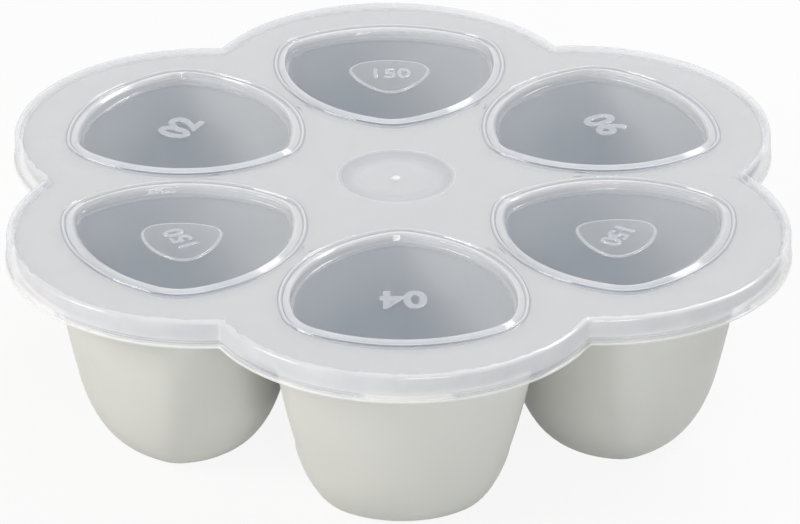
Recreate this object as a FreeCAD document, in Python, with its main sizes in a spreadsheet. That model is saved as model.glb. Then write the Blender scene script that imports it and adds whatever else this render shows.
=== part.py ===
import FreeCAD, Part
import math
import os

import Sketcher

# A baby food freezer tray: six silicone cups hanging from one lobed flange, and a frosted
# lid that caps the flange and plugs each cup's mouth with a sunken window.
#
# Frame: +Z up, millimetres. The origin is the middle of the footprint, on the surface that
# the cups stand on. The front lobe points along -Y. Every outline is drawn on the lobe that
# points along +Y, where "reach" is the distance from the tray's axis and "side" is the
# distance to either side of that lobe's middle line.

document = FreeCAD.newDocument("FreezerTray")

SIZES = {
    # The lobed outline: arcs round the lobe centres, joined by a small arc in each notch.
    "lobe_count": 6,
    "lobe_reach": 65.6,
    "lobe_radius": 58.3,
    "notch_radius": 1.5,
    # The lid's plate, skirt, lip and lugs.
    "plate_thickness": 1.5,
    "plate_edge_round": 1.1,
    "skirt_depth": 8.4,
    "skirt_wall": 1.4,
    "lip_height": 0.8,
    "lip_proud": 0.5,
    "lug_width": 27.0,
    "lug_height": 1.3,
    "lug_proud": 0.7,
    # The sunken windows: a raised bead, a flat ledge, a sloped wall and a floor. They follow a
    # rounded triangle with one tip towards the middle of the tray. The bead stands proud of it,
    # and the recess lies inside it.
    "window_tip_reach": 44.3,
    "window_tip_radius": 10.7,
    "window_corner_reach": 90.1,
    "window_corner_side": 26.6,
    "window_corner_radius": 9.05,
    "window_flank_radius": 65.1,
    "window_outer_radius": 57.75,
    "window_inset": 2.7,
    "window_depth": 2.0,
    "window_floor": 1.3,
    "window_slope": 0.7,
    "bead_proud": 1.0,
    "bead_width": 1.4,
    "bead_height": 0.5,
    "bead_round": 0.4,
    # The badge on every other window: a low rounded triangle.
    "badge_tip_reach": 65.0,
    "badge_tip_radius": 4.0,
    "badge_corner_reach": 77.3,
    "badge_corner_side": 7.0,
    "badge_corner_radius": 5.0,
    "badge_flank_radius": 28.0,
    "badge_outer_radius": 20.0,
    "badge_height": 0.4,
    # The shallow dish in the middle of the lid, and the moulding nib in it.
    "dish_radius": 17.6,
    "dish_floor_radius": 10.8,
    "dish_depth": 0.7,
    "nib_radius": 1.3,
    "nib_height": 0.6,
    # The tray's flange and its thicker rim.
    "tray_height": 64.2,
    "flange_thickness": 2.5,
    "rim_depth": 5.0,
    "rim_width": 3.5,
    "rim_round": 1.0,
    # The cups. Their outside runs from the mouth, in a full curve, to the waist, and from
    # there it rounds in to the flat foot.
    "cup_wall": 2.2,
    "cup_floor": 2.4,
    "cup_fullness": 1.52,
    "mouth_inset": 1.0,
    "mouth_round": 1.2,
    "mouth_overrun": 0.1,
    "waist_height": 18.4,
    "waist_tip_reach": 50.0,
    "waist_tip_radius": 5.9,
    "waist_corner_reach": 84.8,
    "waist_corner_side": 16.6,
    "waist_corner_radius": 12.2,
    "waist_flank_radius": 33.0,
    "waist_outer_radius": 41.6,
    "foot_tip_reach": 62.1,
    "foot_tip_radius": 3.4,
    "foot_corner_reach": 79.9,
    "foot_corner_side": 8.5,
    "foot_corner_radius": 6.3,
    "foot_flank_radius": 16.9,
    "foot_outer_radius": 21.3,
    # Clearances between the lid and the tray.
    "seat_clearance": 0.3,
    "plug_clearance": 0.6,
    "rim_clearance": 1.0,
}

sheet = document.addObject("Spreadsheet::Sheet", "Sizes")
for row, (alias, amount) in enumerate(SIZES.items(), start=1):
    sheet.set(f"A{row}", alias)
    sheet.set(f"B{row}", str(amount))
    sheet.setAlias(f"B{row}", alias)
document.recompute()


class Size:
    """A length worked out from the sheet, with the expression that keeps it bound to the sheet."""

    def __init__(self, value, text):
        self.value = value
        self.text = text

    def __add__(self, other):
        return Size(self.value + other.value, f"({self.text} + {other.text})")

    def __sub__(self, other):
        return Size(self.value - other.value, f"({self.text} - {other.text})")

    def __mul__(self, other):
        return Size(self.value * other.value, f"({self.text} * {other.text})")

    def __truediv__(self, other):
        return Size(self.value / other.value, f"({self.text} / {other.text})")

    def __pow__(self, other):
        return Size(self.value ** other.value, f"({self.text} ^ {other.text})")


def size(alias):
    """The named size from the sheet."""
    return Size(float(sheet.get(alias)), f"Sizes.{alias}")


def number(value):
    """A pure number, for halves, counts and turns."""
    return Size(value, repr(value))


def sine(turn):
    return Size(round(math.sin(math.radians(turn)), 12), f"sin({turn} deg)")


def cosine(turn):
    return Size(round(math.cos(math.radians(turn)), 12), f"cos({turn} deg)")


HALF = number(0.5)
NOTHING = number(0.0)
LOBE_TURN = 360.0 / SIZES["lobe_count"]

# Heights above the surface that the cups stand on.
flange_top = size("tray_height")
rim_bottom = flange_top - size("rim_depth")
plate_bottom = flange_top + size("seat_clearance")
plate_top = plate_bottom + size("plate_thickness")
skirt_bottom = plate_top - size("skirt_depth")
window_floor_top = plate_top - size("window_depth")
plug_bottom = window_floor_top - size("window_floor")
dish_floor = plate_top - size("dish_depth")

# Radii of the lobes' arcs, from the skirt's outside in to the tray's rim. A notch's arc has
# its centre outside the outline, so it grows by what the lobes' arcs shrink.
skirt_inside = size("skirt_wall")
rim_outside = skirt_inside + size("rim_clearance")
rim_inside = rim_outside + size("rim_width")


# ---- Sketches -------------------------------------------------------------------------------


def origin_feature(body, role):
    """The body's own origin plane or axis of the given role."""
    for feature in body.Origin.OriginFeatures:
        if feature.Role == role:
            return feature
    raise ValueError(f"{body.Label} has no {role}")


def flat_sketch(body, name, height):
    """An empty sketch parallel to the ground at the given height."""
    sketch = body.newObject("Sketcher::SketchObject", name)
    sketch.AttachmentSupport = (origin_feature(body, "XY_Plane"), [""])
    sketch.MapMode = "FlatFace"
    sketch.setExpression("AttachmentOffset.Base.z", height.text)
    return sketch


def profile_sketch(body, name):
    """An empty sketch in the upright plane through the tray's axis: x is radius, y is height."""
    sketch = body.newObject("Sketcher::SketchObject", name)
    sketch.AttachmentSupport = (origin_feature(body, "XZ_Plane"), [""])
    sketch.MapMode = "FlatFace"
    return sketch


def drive(sketch, kind, places, length):
    """Add a dimension and bind it to the sheet."""
    index = sketch.addConstraint(Sketcher.Constraint(kind, *places, length.value))
    sketch.setExpression(f"Constraints[{index}]", length.text)


ORIGIN_POINT = (-1, 1)
X_AXIS, Y_AXIS = range(-1, -3, -1)
START, END, CENTRE = range(1, 4)


def pin(sketch, geometry, point, x, y):
    """Fix a point of the sketch at the given sizes, or on an axis where a size is nothing."""
    if abs(x.value) < 1e-9:
        sketch.addConstraint(Sketcher.Constraint("PointOnObject", geometry, point, Y_AXIS))
    else:
        drive(sketch, "DistanceX", (*ORIGIN_POINT, geometry, point), x)
    if abs(y.value) < 1e-9:
        sketch.addConstraint(Sketcher.Constraint("PointOnObject", geometry, point, X_AXIS))
    else:
        drive(sketch, "DistanceY", (*ORIGIN_POINT, geometry, point), y)


def arc(sketch, centre, radius, start, end):
    """Add an arc that runs counterclockwise between the directions of two points."""
    up = FreeCAD.Vector(0, 0, 1)
    first = math.atan2(start[1] - centre[1], start[0] - centre[0])
    last = math.atan2(end[1] - centre[1], end[0] - centre[0])
    if last <= first:
        last += 2 * math.pi
    circle = Part.Circle(FreeCAD.Vector(*centre, 0), up, radius)
    return sketch.addGeometry(Part.ArcOfCircle(circle, first, last), False)


def towards(centre, point, radius):
    """The point at the given radius from a centre, in the direction of another point."""
    span = math.dist(centre, point)
    return tuple(c + (p - c) * radius / span for c, p in zip(centre, point))


def lobed_outline(sketch, inset):
    """Draw the lobed outline, moved inwards by the inset."""
    reach = size("lobe_reach")
    radius = size("lobe_radius") - inset
    notch = size("notch_radius") + inset
    half_turn = math.radians(LOBE_TURN / 2)
    notch_reach = reach.value * math.cos(half_turn) + math.sqrt(
        (radius.value + notch.value) ** 2 - (reach.value * math.sin(half_turn)) ** 2)
    turns = [90.0 + LOBE_TURN * lobe for lobe in range(SIZES["lobe_count"])]

    def around(distance, degrees):
        return (distance * math.cos(math.radians(degrees)),
                distance * math.sin(math.radians(degrees)))

    lobes = []
    notches = []
    for turn in turns:
        centre = around(reach.value, turn)
        before = around(notch_reach, turn - LOBE_TURN / 2)
        after = around(notch_reach, turn + LOBE_TURN / 2)
        next_centre = around(reach.value, turn + LOBE_TURN)
        lobes.append(arc(sketch, centre, radius.value, before, after))
        notches.append(arc(sketch, after, notch.value, next_centre, centre))
    for lobe, turn in enumerate(turns):
        following = lobes[(lobe + 1) % len(lobes)]
        sketch.addConstraint(Sketcher.Constraint("Tangent", lobes[lobe], END, notches[lobe], END))
        sketch.addConstraint(Sketcher.Constraint("Tangent", notches[lobe], START, following, START))
        drive(sketch, "Radius", (lobes[lobe],), radius)
        drive(sketch, "Radius", (notches[lobe],), notch)
        pin(sketch, lobes[lobe], CENTRE, reach * cosine(turn), reach * sine(turn))


PARTS_OF_A_TRIANGLE = (
    "tip_reach", "tip_radius", "corner_reach", "corner_side",
    "corner_radius", "flank_radius", "outer_radius",
)


def outline_sizes(family):
    """The seven sizes of a rounded triangle, from the sheet."""
    return {part: size(f"{family}_{part}") for part in PARTS_OF_A_TRIANGLE}


def grown(outline, amount):
    """The same rounded triangle moved outwards: its centres stay and its radii grow."""
    return {part: length + amount if part.endswith("radius") else length
            for part, length in outline.items()}


def between(first, second, share):
    """A rounded triangle part of the way from one to another."""
    return {part: first[part] + (second[part] - first[part]) * share for part in first}


def triangle_outline(sketch, outline):
    """Draw a rounded triangle of six arcs that run into each other smoothly."""
    tip = (0.0, outline["tip_reach"].value)
    side = outline["corner_side"].value
    right = (side, outline["corner_reach"].value)
    left = (-side, outline["corner_reach"].value)
    tip_radius = outline["tip_radius"].value
    corner_radius = outline["corner_radius"].value
    flank_radius = outline["flank_radius"].value
    outer_radius = outline["outer_radius"].value

    # The flank's arc holds the tip's and the corner's circles from inside.
    from_tip = flank_radius - tip_radius
    from_corner = flank_radius - corner_radius
    span = math.dist(tip, right)
    along = (from_tip ** 2 - from_corner ** 2 + span ** 2) / (2 * span)
    across = math.sqrt(from_tip ** 2 - along ** 2)
    step = ((right[0] - tip[0]) / span, (right[1] - tip[1]) / span)
    flank = (tip[0] + step[0] * along - step[1] * across,
             tip[1] + step[1] * along + step[0] * across)
    mirrored_flank = (-flank[0], flank[1])
    outer = (0.0, right[1] - math.sqrt((outer_radius - corner_radius) ** 2 - side ** 2))

    tip_end = towards(flank, tip, flank_radius)
    flank_end = towards(flank, right, flank_radius)
    corner_end = towards(outer, right, outer_radius)

    def mirrored(point):
        return (-point[0], point[1])

    arcs = [
        arc(sketch, tip, tip_radius, mirrored(tip_end), tip_end),
        arc(sketch, flank, flank_radius, tip_end, flank_end),
        arc(sketch, right, corner_radius, flank_end, corner_end),
        arc(sketch, outer, outer_radius, corner_end, mirrored(corner_end)),
        arc(sketch, left, corner_radius, mirrored(corner_end), mirrored(flank_end)),
        arc(sketch, mirrored_flank, flank_radius, mirrored(flank_end), mirrored(tip_end)),
    ]
    tip_arc, right_flank, right_corner, outer_arc, left_corner, left_flank = arcs
    for this, following in zip(arcs, arcs[1:] + arcs[:1]):
        sketch.addConstraint(Sketcher.Constraint("Tangent", this, END, following, START))
    pin(sketch, tip_arc, CENTRE, NOTHING, outline["tip_reach"])
    pin(sketch, right_corner, CENTRE, outline["corner_side"], outline["corner_reach"])
    sketch.addConstraint(Sketcher.Constraint(
        "Symmetric", right_corner, CENTRE, left_corner, CENTRE, Y_AXIS))
    drive(sketch, "Radius", (tip_arc,), outline["tip_radius"])
    drive(sketch, "Radius", (outer_arc,), outline["outer_radius"])
    for corner in (right_corner, left_corner):
        drive(sketch, "Radius", (corner,), outline["corner_radius"])
    for flank_arc in (right_flank, left_flank):
        drive(sketch, "Radius", (flank_arc,), outline["flank_radius"])


# ---- Features -------------------------------------------------------------------------------


def new_body(name):
    body = document.addObject("PartDesign::Body", name)
    body.Label = name
    return body


def pad(body, name, sketch, length):
    """Raise a sketch upwards by a length."""
    feature = body.newObject("PartDesign::Pad", name)
    feature.Profile = sketch
    feature.setExpression("Length", length.text)
    return feature


def pocket_up(body, name, sketch, depth):
    """Cut a sketch upwards from its own height."""
    feature = body.newObject("PartDesign::Pocket", name)
    feature.Profile = sketch
    feature.Reversed = True
    feature.setExpression("Length", depth.text)
    return feature


def loft(body, kind, name, sketches):
    """Add or cut a skin through sketches stacked in order."""
    feature = body.newObject(f"PartDesign::{kind}Loft", name)
    feature.Profile = sketches[0]
    feature.Sections = sketches[1:]
    return feature


def turned(body, kind, name, sketch):
    """Add (Revolution) or cut (Groove) a full turn of a profile round the tray's axis."""
    feature = body.newObject(f"PartDesign::{kind}", name)
    feature.Profile = sketch
    feature.ReferenceAxis = (origin_feature(body, "Z_Axis"), [""])
    feature.Angle = 360.0
    return feature


def around_the_tray(body, name, features, every=1):
    """Repeat features on each lobe, or on every second one."""
    pattern = body.newObject("PartDesign::PolarPattern", name)
    pattern.Originals = features
    pattern.Axis = (origin_feature(body, "Z_Axis"), [""])
    count = f"floor(Sizes.lobe_count / {every})"
    pattern.setExpression("Occurrences", count)
    if every == 1:
        pattern.Angle = 360.0
    else:
        pattern.setExpression("Angle", f"({count} - 1) * {every} * 360 / Sizes.lobe_count")
    body.Tip = pattern
    document.recompute()
    return pattern


def rounded(body, name, feature, radius, chosen):
    """Fillet those edges of a feature that the test picks."""
    document.recompute()
    edges = [f"Edge{index}" for index, edge in enumerate(feature.Shape.Edges, start=1) if chosen(edge)]
    fillet = body.newObject("PartDesign::Fillet", name)
    fillet.Base = (feature, edges)
    fillet.setExpression("Radius", radius.text)
    document.recompute()
    return fillet


def lies_at(edge, height):
    """Whether an edge lies flat at the given height."""
    box = edge.BoundBox
    return abs(box.ZMin - height.value) < 1e-4 and abs(box.ZMax - height.value) < 1e-4


# ---- Silicone tray --------------------------------------------------------------------------

# Between the mouth and the waist the outline turns into the waist's with a growing slope.
# Between the waist and the foot it follows a quarter of an ellipse. The mouth's own edge
# follows a quarter of a circle, from flat on the flange to upright at the wall.
SHARES_DOWN_THE_WALL = (0.0, 1 / 3, 2 / 3, 1.0)
TURNS_ROUND_THE_FOOT = (30.0, 60.0, 90.0)
TURNS_OVER_THE_MOUTH = (0.0, 30.0, 60.0, 90.0)

# How far a cup's two sides lie outside the window's outline at the mouth, and outside the
# waist's and the foot's outlines further down, and where each side ends at the bottom.
AT_THE_MOUTH = {"Outside": size("cup_wall"), "Inside": NOTHING - size("mouth_inset")}
BELOW_THE_MOUTH = {"Outside": NOTHING, "Inside": NOTHING - size("cup_wall")}
BOTTOM = {"Outside": NOTHING, "Inside": size("cup_floor")}


def wall_outline(side, share):
    """The outline of a cup's outside or inside, part of the way from its mouth to its waist."""
    mouth = grown(outline_sizes("window"), AT_THE_MOUTH[side])
    waist = grown(outline_sizes("waist"), BELOW_THE_MOUTH[side])
    return between(mouth, waist, share ** size("cup_fullness"))


def stacked_sketches(body, name, stack):
    """One sketch for each height and rounded triangle of a stack."""
    sketches = []
    for level, (height, outline) in enumerate(stack):
        sketch = flat_sketch(body, f"{name}{level}", height)
        triangle_outline(sketch, outline)
        sketches.append(sketch)
    return sketches


def wall_sections(body, side):
    """Sketches of one side of a cup, from its mouth down to its waist."""
    drop = flange_top - size("waist_height")
    stack = [(flange_top - drop * number(share), wall_outline(side, number(share)))
             for share in SHARES_DOWN_THE_WALL]
    return stacked_sketches(body, f"{side}Wall", stack)


def foot_sections(body, side):
    """Sketches of one side of a cup, from its waist down to its bottom."""
    drop = size("waist_height") - BOTTOM[side]
    waist = grown(outline_sizes("waist"), BELOW_THE_MOUTH[side])
    foot = grown(outline_sizes("foot"), BELOW_THE_MOUTH[side])
    stack = [(size("waist_height") - drop * sine(turn), between(foot, waist, cosine(turn)))
             for turn in TURNS_ROUND_THE_FOOT]
    return stacked_sketches(body, f"{side}Foot", stack)


def cup_lofts(body, kind, side):
    """The two skins of a cup, which meet at its waist: its wall and its rounded foot."""
    wall = wall_sections(body, side)
    foot = foot_sections(body, side)
    return [loft(body, kind, f"Cup{side}Wall", wall),
            loft(body, kind, f"Cup{side}Foot", [wall[-1]] + foot)]


def mouth_sections(body, name):
    """Sketches of the flare that rounds a cup's mouth into the top of the flange.

    The flare's foot runs a little way past the wall, so that the two meet at an angle.
    """
    radius = size("mouth_round")
    one = number(1.0)
    share = radius / (flange_top - size("waist_height"))
    wall = grown(wall_outline("Inside", share), NOTHING - size("mouth_overrun"))
    stack = []
    for turn in TURNS_OVER_THE_MOUTH:
        height = flange_top - radius * (one - cosine(turn))
        stack.append((height, grown(wall, radius * (one - sine(turn)))))
    return stacked_sketches(body, name, stack)


def make_silicone_tray():
    body = new_body("silicone_tray")

    outline = flat_sketch(body, "RimOutline", rim_bottom)
    lobed_outline(outline, rim_outside)
    slab = pad(body, "Rim", outline, size("rim_depth"))
    rounded(body, "RimRound", slab, size("rim_round"),
            lambda edge: lies_at(edge, rim_bottom) or lies_at(edge, flange_top))

    hollow = flat_sketch(body, "FlangeUnderside", rim_bottom)
    lobed_outline(hollow, rim_inside)
    pocket_up(body, "Flange", hollow, size("rim_depth") - size("flange_thickness"))
    document.recompute()

    outside = cup_lofts(body, "Additive", "Outside")
    document.recompute()
    around_the_tray(body, "Cups", outside)
    inside = cup_lofts(body, "Subtractive", "Inside")
    inside.append(loft(body, "Subtractive", "MouthRound", mouth_sections(body, "MouthRound")))
    document.recompute()
    around_the_tray(body, "Cavities", inside)
    return body


# ---- Lid ------------------------------------------------------------------------------------


def lug_outline(sketch):
    """Draw a lug: a short stretch of ring against the inside of the skirt."""
    half_width = size("lug_width") * HALF
    root = size("lobe_radius") - skirt_inside * HALF
    face = size("lobe_radius") - skirt_inside - size("lug_proud")
    centre = (0.0, SIZES["lobe_reach"])

    def on_arc(radius, side):
        return (side, centre[1] + math.sqrt(radius.value ** 2 - side ** 2))

    side = half_width.value
    outer = arc(sketch, centre, root.value, on_arc(root, side), on_arc(root, -side))
    inner = arc(sketch, centre, face.value, on_arc(face, side), on_arc(face, -side))
    ends = []
    for direction in (1, -1):
        first = FreeCAD.Vector(*on_arc(face, direction * side), 0)
        last = FreeCAD.Vector(*on_arc(root, direction * side), 0)
        ends.append(sketch.addGeometry(Part.LineSegment(first, last), False))
    for line, point in ((ends[0], START), (ends[1], END)):
        sketch.addConstraint(Sketcher.Constraint("Vertical", line))
        sketch.addConstraint(Sketcher.Constraint("Coincident", line, START, inner, point))
        sketch.addConstraint(Sketcher.Constraint("Coincident", line, END, outer, point))
    pin(sketch, outer, CENTRE, NOTHING, size("lobe_reach"))
    sketch.addConstraint(Sketcher.Constraint("Coincident", inner, CENTRE, outer, CENTRE))
    drive(sketch, "Radius", (outer,), root)
    drive(sketch, "Radius", (inner,), face)
    drive(sketch, "DistanceX", (*ORIGIN_POINT, ends[0], START), half_width)
    drive(sketch, "DistanceX", (ends[1], START, *ORIGIN_POINT), half_width)


def dish_profile(sketch):
    """Draw half of the dish's cut: a flat floor and a slope up to the plate."""
    corners = (
        (NOTHING, dish_floor),
        (size("dish_floor_radius"), dish_floor),
        (size("dish_radius"), plate_top),
        (NOTHING, plate_top),
    )
    points = [FreeCAD.Vector(x.value, y.value, 0) for x, y in corners]
    lines = [sketch.addGeometry(Part.LineSegment(first, last), False)
             for first, last in zip(points, points[1:] + points[:1])]
    for this, following in zip(lines, lines[1:] + lines[:1]):
        sketch.addConstraint(Sketcher.Constraint("Coincident", this, END, following, START))
    for line, (x, y) in zip(lines, corners):
        pin(sketch, line, START, x, y)


def nib_profile(sketch):
    """Draw half of the nib: a low dome on the dish's floor, rooted a little below it."""
    root = dish_floor - size("nib_height") * HALF
    radius = size("nib_radius")
    top = dish_floor + size("nib_height")
    base_centre = FreeCAD.Vector(0, root.value, 0)
    base_edge = FreeCAD.Vector(radius.value, root.value, 0)
    crown = FreeCAD.Vector(0, top.value, 0)
    rise = top.value - root.value
    dome_radius = (radius.value ** 2 + rise ** 2) / (2 * rise)
    base = sketch.addGeometry(Part.LineSegment(base_centre, base_edge), False)
    dome = arc(sketch, (0.0, top.value - dome_radius), dome_radius, (radius.value, root.value),
               (0.0, top.value))
    stem = sketch.addGeometry(Part.LineSegment(crown, base_centre), False)
    sketch.addConstraint(Sketcher.Constraint("Coincident", base, END, dome, START))
    sketch.addConstraint(Sketcher.Constraint("Coincident", dome, END, stem, START))
    sketch.addConstraint(Sketcher.Constraint("Coincident", stem, END, base, START))
    sketch.addConstraint(Sketcher.Constraint("PointOnObject", dome, CENTRE, Y_AXIS))
    pin(sketch, base, START, NOTHING, root)
    pin(sketch, base, END, radius, root)
    pin(sketch, stem, START, NOTHING, top)


def make_lid():
    body = new_body("lid")

    outline = flat_sketch(body, "SkirtOutline", skirt_bottom)
    lobed_outline(outline, NOTHING)
    block = pad(body, "Plate", outline, size("skirt_depth"))
    rounded(body, "PlateEdge", block, size("plate_edge_round"), lambda edge: lies_at(edge, plate_top))

    inside = flat_sketch(body, "SkirtInside", skirt_bottom)
    lobed_outline(inside, skirt_inside)
    pocket_up(body, "Skirt", inside, size("skirt_depth") - size("plate_thickness"))

    lip = flat_sketch(body, "LipOutline", skirt_bottom)
    lobed_outline(lip, NOTHING - size("lip_proud"))
    lobed_outline(lip, skirt_inside)
    pad(body, "Lip", lip, size("lip_height"))
    document.recompute()

    lug = flat_sketch(body, "LugOutline", skirt_bottom)
    lug_outline(lug)
    first_lug = pad(body, "Lug", lug, size("lug_height"))
    document.recompute()
    around_the_tray(body, "Lugs", [first_lug])

    # Each window's plug reaches down into a cup's mouth, and its recess is cut from above.
    window = outline_sizes("window")
    plug_slope = size("window_slope") * HALF
    plug_top = grown(window, NOTHING - size("mouth_inset") - size("plug_clearance"))
    plug_foot = grown(plug_top, NOTHING - plug_slope)
    plug_sketches = []
    for name, height, shape in (("PlugTop", plate_bottom + size("plate_thickness") * HALF, plug_top),
                                ("PlugFoot", plug_bottom, plug_foot)):
        sketch = flat_sketch(body, name, height)
        triangle_outline(sketch, shape)
        plug_sketches.append(sketch)
    plug = loft(body, "Additive", "Plug", plug_sketches)
    document.recompute()
    around_the_tray(body, "Plugs", [plug])

    bead = flat_sketch(body, "BeadOutline", plate_top)
    bead_outside = grown(window, size("bead_proud"))
    triangle_outline(bead, bead_outside)
    triangle_outline(bead, grown(bead_outside, NOTHING - size("bead_width")))
    first_bead = pad(body, "Bead", bead, size("bead_height"))
    document.recompute()
    beads = around_the_tray(body, "Beads", [first_bead])
    bead_top = plate_top + size("bead_height")
    rounded(body, "BeadRound", beads, size("bead_round"), lambda edge: lies_at(edge, bead_top))

    recess_top = grown(window, NOTHING - size("window_inset"))
    recess_floor = grown(recess_top, NOTHING - size("window_slope"))
    recess_sketches = []
    for name, height, shape in (("RecessTop", plate_top, recess_top),
                                ("RecessFloor", window_floor_top, recess_floor)):
        sketch = flat_sketch(body, name, height)
        triangle_outline(sketch, shape)
        recess_sketches.append(sketch)
    recess = loft(body, "Subtractive", "Recess", recess_sketches)
    document.recompute()
    around_the_tray(body, "Recesses", [recess])

    badge = flat_sketch(body, "BadgeOutline", window_floor_top)
    triangle_outline(badge, outline_sizes("badge"))
    first_badge = pad(body, "Badge", badge, size("badge_height"))
    document.recompute()
    around_the_tray(body, "Badges", [first_badge], every=2)

    dish = profile_sketch(body, "DishProfile")
    dish_profile(dish)
    turned(body, "Groove", "Dish", dish)
    document.recompute()
    nib = profile_sketch(body, "NibProfile")
    nib_profile(nib)
    turned(body, "Revolution", "Nib", nib)
    document.recompute()
    return body


# ---- Build, check and write -----------------------------------------------------------------

bodies = [make_silicone_tray(), make_lid()]
document.recompute()

for item in document.Objects:
    if "Invalid" in item.State or "Error" in item.State:
        raise RuntimeError(f"{item.Label} failed: {item.State}")

os.makedirs("parts", exist_ok=True)
for body in bodies:
    shape = body.Shape
    if shape.isNull() or not shape.isValid():
        raise RuntimeError(f"{body.Label} has no valid shape")
    if len(shape.Solids) != 1:
        raise RuntimeError(f"{body.Label} has {len(shape.Solids)} solids")
    shape.exportStep(f"parts/{body.Label}.step")
    print(f"{body.Label}: {shape.Volume / 1000:.1f} cm3, {len(shape.Faces)} faces, {shape.BoundBox}")
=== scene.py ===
import math

import bmesh
import bpy
import numpy as np
from bpy.props import FloatProperty, FloatVectorProperty, IntProperty, PointerProperty
from bpy.types import Operator, Panel, PropertyGroup
from mathutils import Matrix, Vector


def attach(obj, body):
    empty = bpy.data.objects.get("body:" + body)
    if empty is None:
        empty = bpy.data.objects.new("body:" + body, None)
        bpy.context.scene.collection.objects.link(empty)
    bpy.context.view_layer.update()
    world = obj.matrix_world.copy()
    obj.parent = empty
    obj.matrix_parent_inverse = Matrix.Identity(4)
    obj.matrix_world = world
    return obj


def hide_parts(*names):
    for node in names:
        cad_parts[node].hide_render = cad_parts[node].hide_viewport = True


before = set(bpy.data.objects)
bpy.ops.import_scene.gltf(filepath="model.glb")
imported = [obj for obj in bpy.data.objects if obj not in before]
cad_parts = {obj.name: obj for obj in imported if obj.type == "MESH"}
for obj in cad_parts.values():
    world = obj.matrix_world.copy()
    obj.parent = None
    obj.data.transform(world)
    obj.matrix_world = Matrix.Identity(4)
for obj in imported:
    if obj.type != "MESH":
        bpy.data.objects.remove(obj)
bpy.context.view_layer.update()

bl_info = {
    "name": "Baby Food Freezer Tray",
    "version": (1, 0, 0),
    "blender": (4, 5, 0),
    "location": "View3D > Sidebar > Freezer Tray",
    "description": "Builds a silicone freezer tray, its frosted lid and the stage they stand on",
    "category": "Add Mesh",
}

# Every length is in metres. The front lobe points along -Y. Outlines are worked out on the lobe
# that points along +Y, where "reach" is the distance from the tray's axis and "side" is the
# distance to either side of the lobe's middle line, and are then turned round the axis.

LOBES = 6
LOBE_TURN = 2 * math.pi / LOBES

# Steps along a rounded triangle's right half: tip, flank, corner and half of the outer side.
TRIANGLE_STEPS = (16, 24, 18, 16)
# Steps along a lobe's right half: the dish, the line between two lobes, the notch and the lobe.
SECTOR_STEPS = (9, 31, 6, 28)

# Where the rings of a flat sheet lie, from its inner outline to its outer one. The close rings
# at both ends keep the shading of the flat part flat.
SHEET_SHARES = np.array([0.0, 0.04, 0.2, 0.5, 0.8, 0.96, 1.0])
FLOOR_SHARES = np.array([0.0, 0.06, 0.25, 0.5, 0.75, 1.0])
# How far a profile runs on over the flat sheet beside it, and the same beside a rounded edge
# as a multiple of the edge's radius.
SHEET_MARGIN, EDGE_MARGIN = 0.001, 1.5

# How cloudy the frosted plastic looks: 0 in its thin windows, up to 1 along its edges, and
# below 0 in creases, where a dark colour is mixed in as painted shade.
CREASE_SHADE, WINDOW, BADGE, BAND, PLATE, LEDGE, SKIRT, BEAD, RIDGE, LIP = (
    -1.0, 0.0, 0.22, 0.2, 0.3, 0.5, 0.75, 0.7, 0.8, 1.0)
# Up to this cloudiness the haze turns from its thin colour to its thick one, and from the next
# one on it turns from there to its dense one.
WHITE_FROM, DENSE_FROM = 0.3, 0.6

# ---- Sizes and finishes ---------------------------------------------------------------------


def length(name, description, default):
    """A length that the user may change, in metres."""
    return FloatProperty(name=name, description=description, default=default, unit="LENGTH",
                         precision=5)


def colour(name, description, default):
    """A linear colour that the user may change."""
    return FloatVectorProperty(name=name, description=description, default=default,
                               subtype="COLOR", size=3, min=0.0, max=1.0)


def share(name, description, default):
    """A share from 0 to 1 that the user may change."""
    return FloatProperty(name=name, description=description, default=default, subtype="FACTOR",
                         min=0.0, max=1.0)


OUTLINE_WORDS = {
    "tip_reach": ("Tip Reach", "Distance from the tray's axis to the centre of the tip's arc"),
    "tip_radius": ("Tip Radius", "Radius of the tip, which points to the middle of the tray"),
    "corner_reach": ("Corner Reach", "Distance outwards to the centres of the corners' arcs"),
    "corner_side": ("Corner Side", "Distance sideways to the centres of the corners' arcs"),
    "corner_radius": ("Corner Radius", "Radius of the two outer corners"),
    "flank_radius": ("Flank Radius", "Radius of the two sides that meet at the tip"),
    "outer_radius": ("Outer Radius", "Radius of the side that follows the tray's edge"),
}


def outline_group(name, text, *defaults):
    """A PropertyGroup class that holds the seven lengths of one rounded triangle."""
    properties = {key: length(label, words, default)
                  for (key, (label, words)), default in zip(OUTLINE_WORDS.items(), defaults)}
    return type(name, (PropertyGroup,), {"__doc__": text, "__annotations__": properties})


ShoulderOutline = outline_group(
    "ShoulderOutline", "Outline from which the top of a cup's outside is measured",
    0.0443, 0.0107, 0.0901, 0.0266, 0.00905, 0.0651, 0.05775)
RingOutline = outline_group(
    "RingOutline", "Outline of a window, from which its ring, plug and mouth are measured",
    0.0484, 0.0129, 0.0842, 0.01806, 0.01593, 0.0442, 0.05062)
PitOutline = outline_group(
    "PitOutline", "Outline of a window's sunken floor",
    0.0479, 0.0091, 0.0858, 0.0230, 0.0087, 0.0425, 0.0510)
WaistOutline = outline_group(
    "WaistOutline", "Outline of a cup's outside where its foot starts to round in",
    0.0500, 0.0067, 0.0848, 0.0166, 0.0130, 0.0338, 0.0424)
FootOutline = outline_group(
    "FootOutline", "Outline of the flat that a cup stands on",
    0.0621, 0.0034, 0.0799, 0.0085, 0.0063, 0.0169, 0.0213)
BadgeOutline = outline_group(
    "BadgeOutline", "Outline of the raised badge on every second window",
    0.0662, 0.0052, 0.0765, 0.0062, 0.0060, 0.0240, 0.0200)


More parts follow.
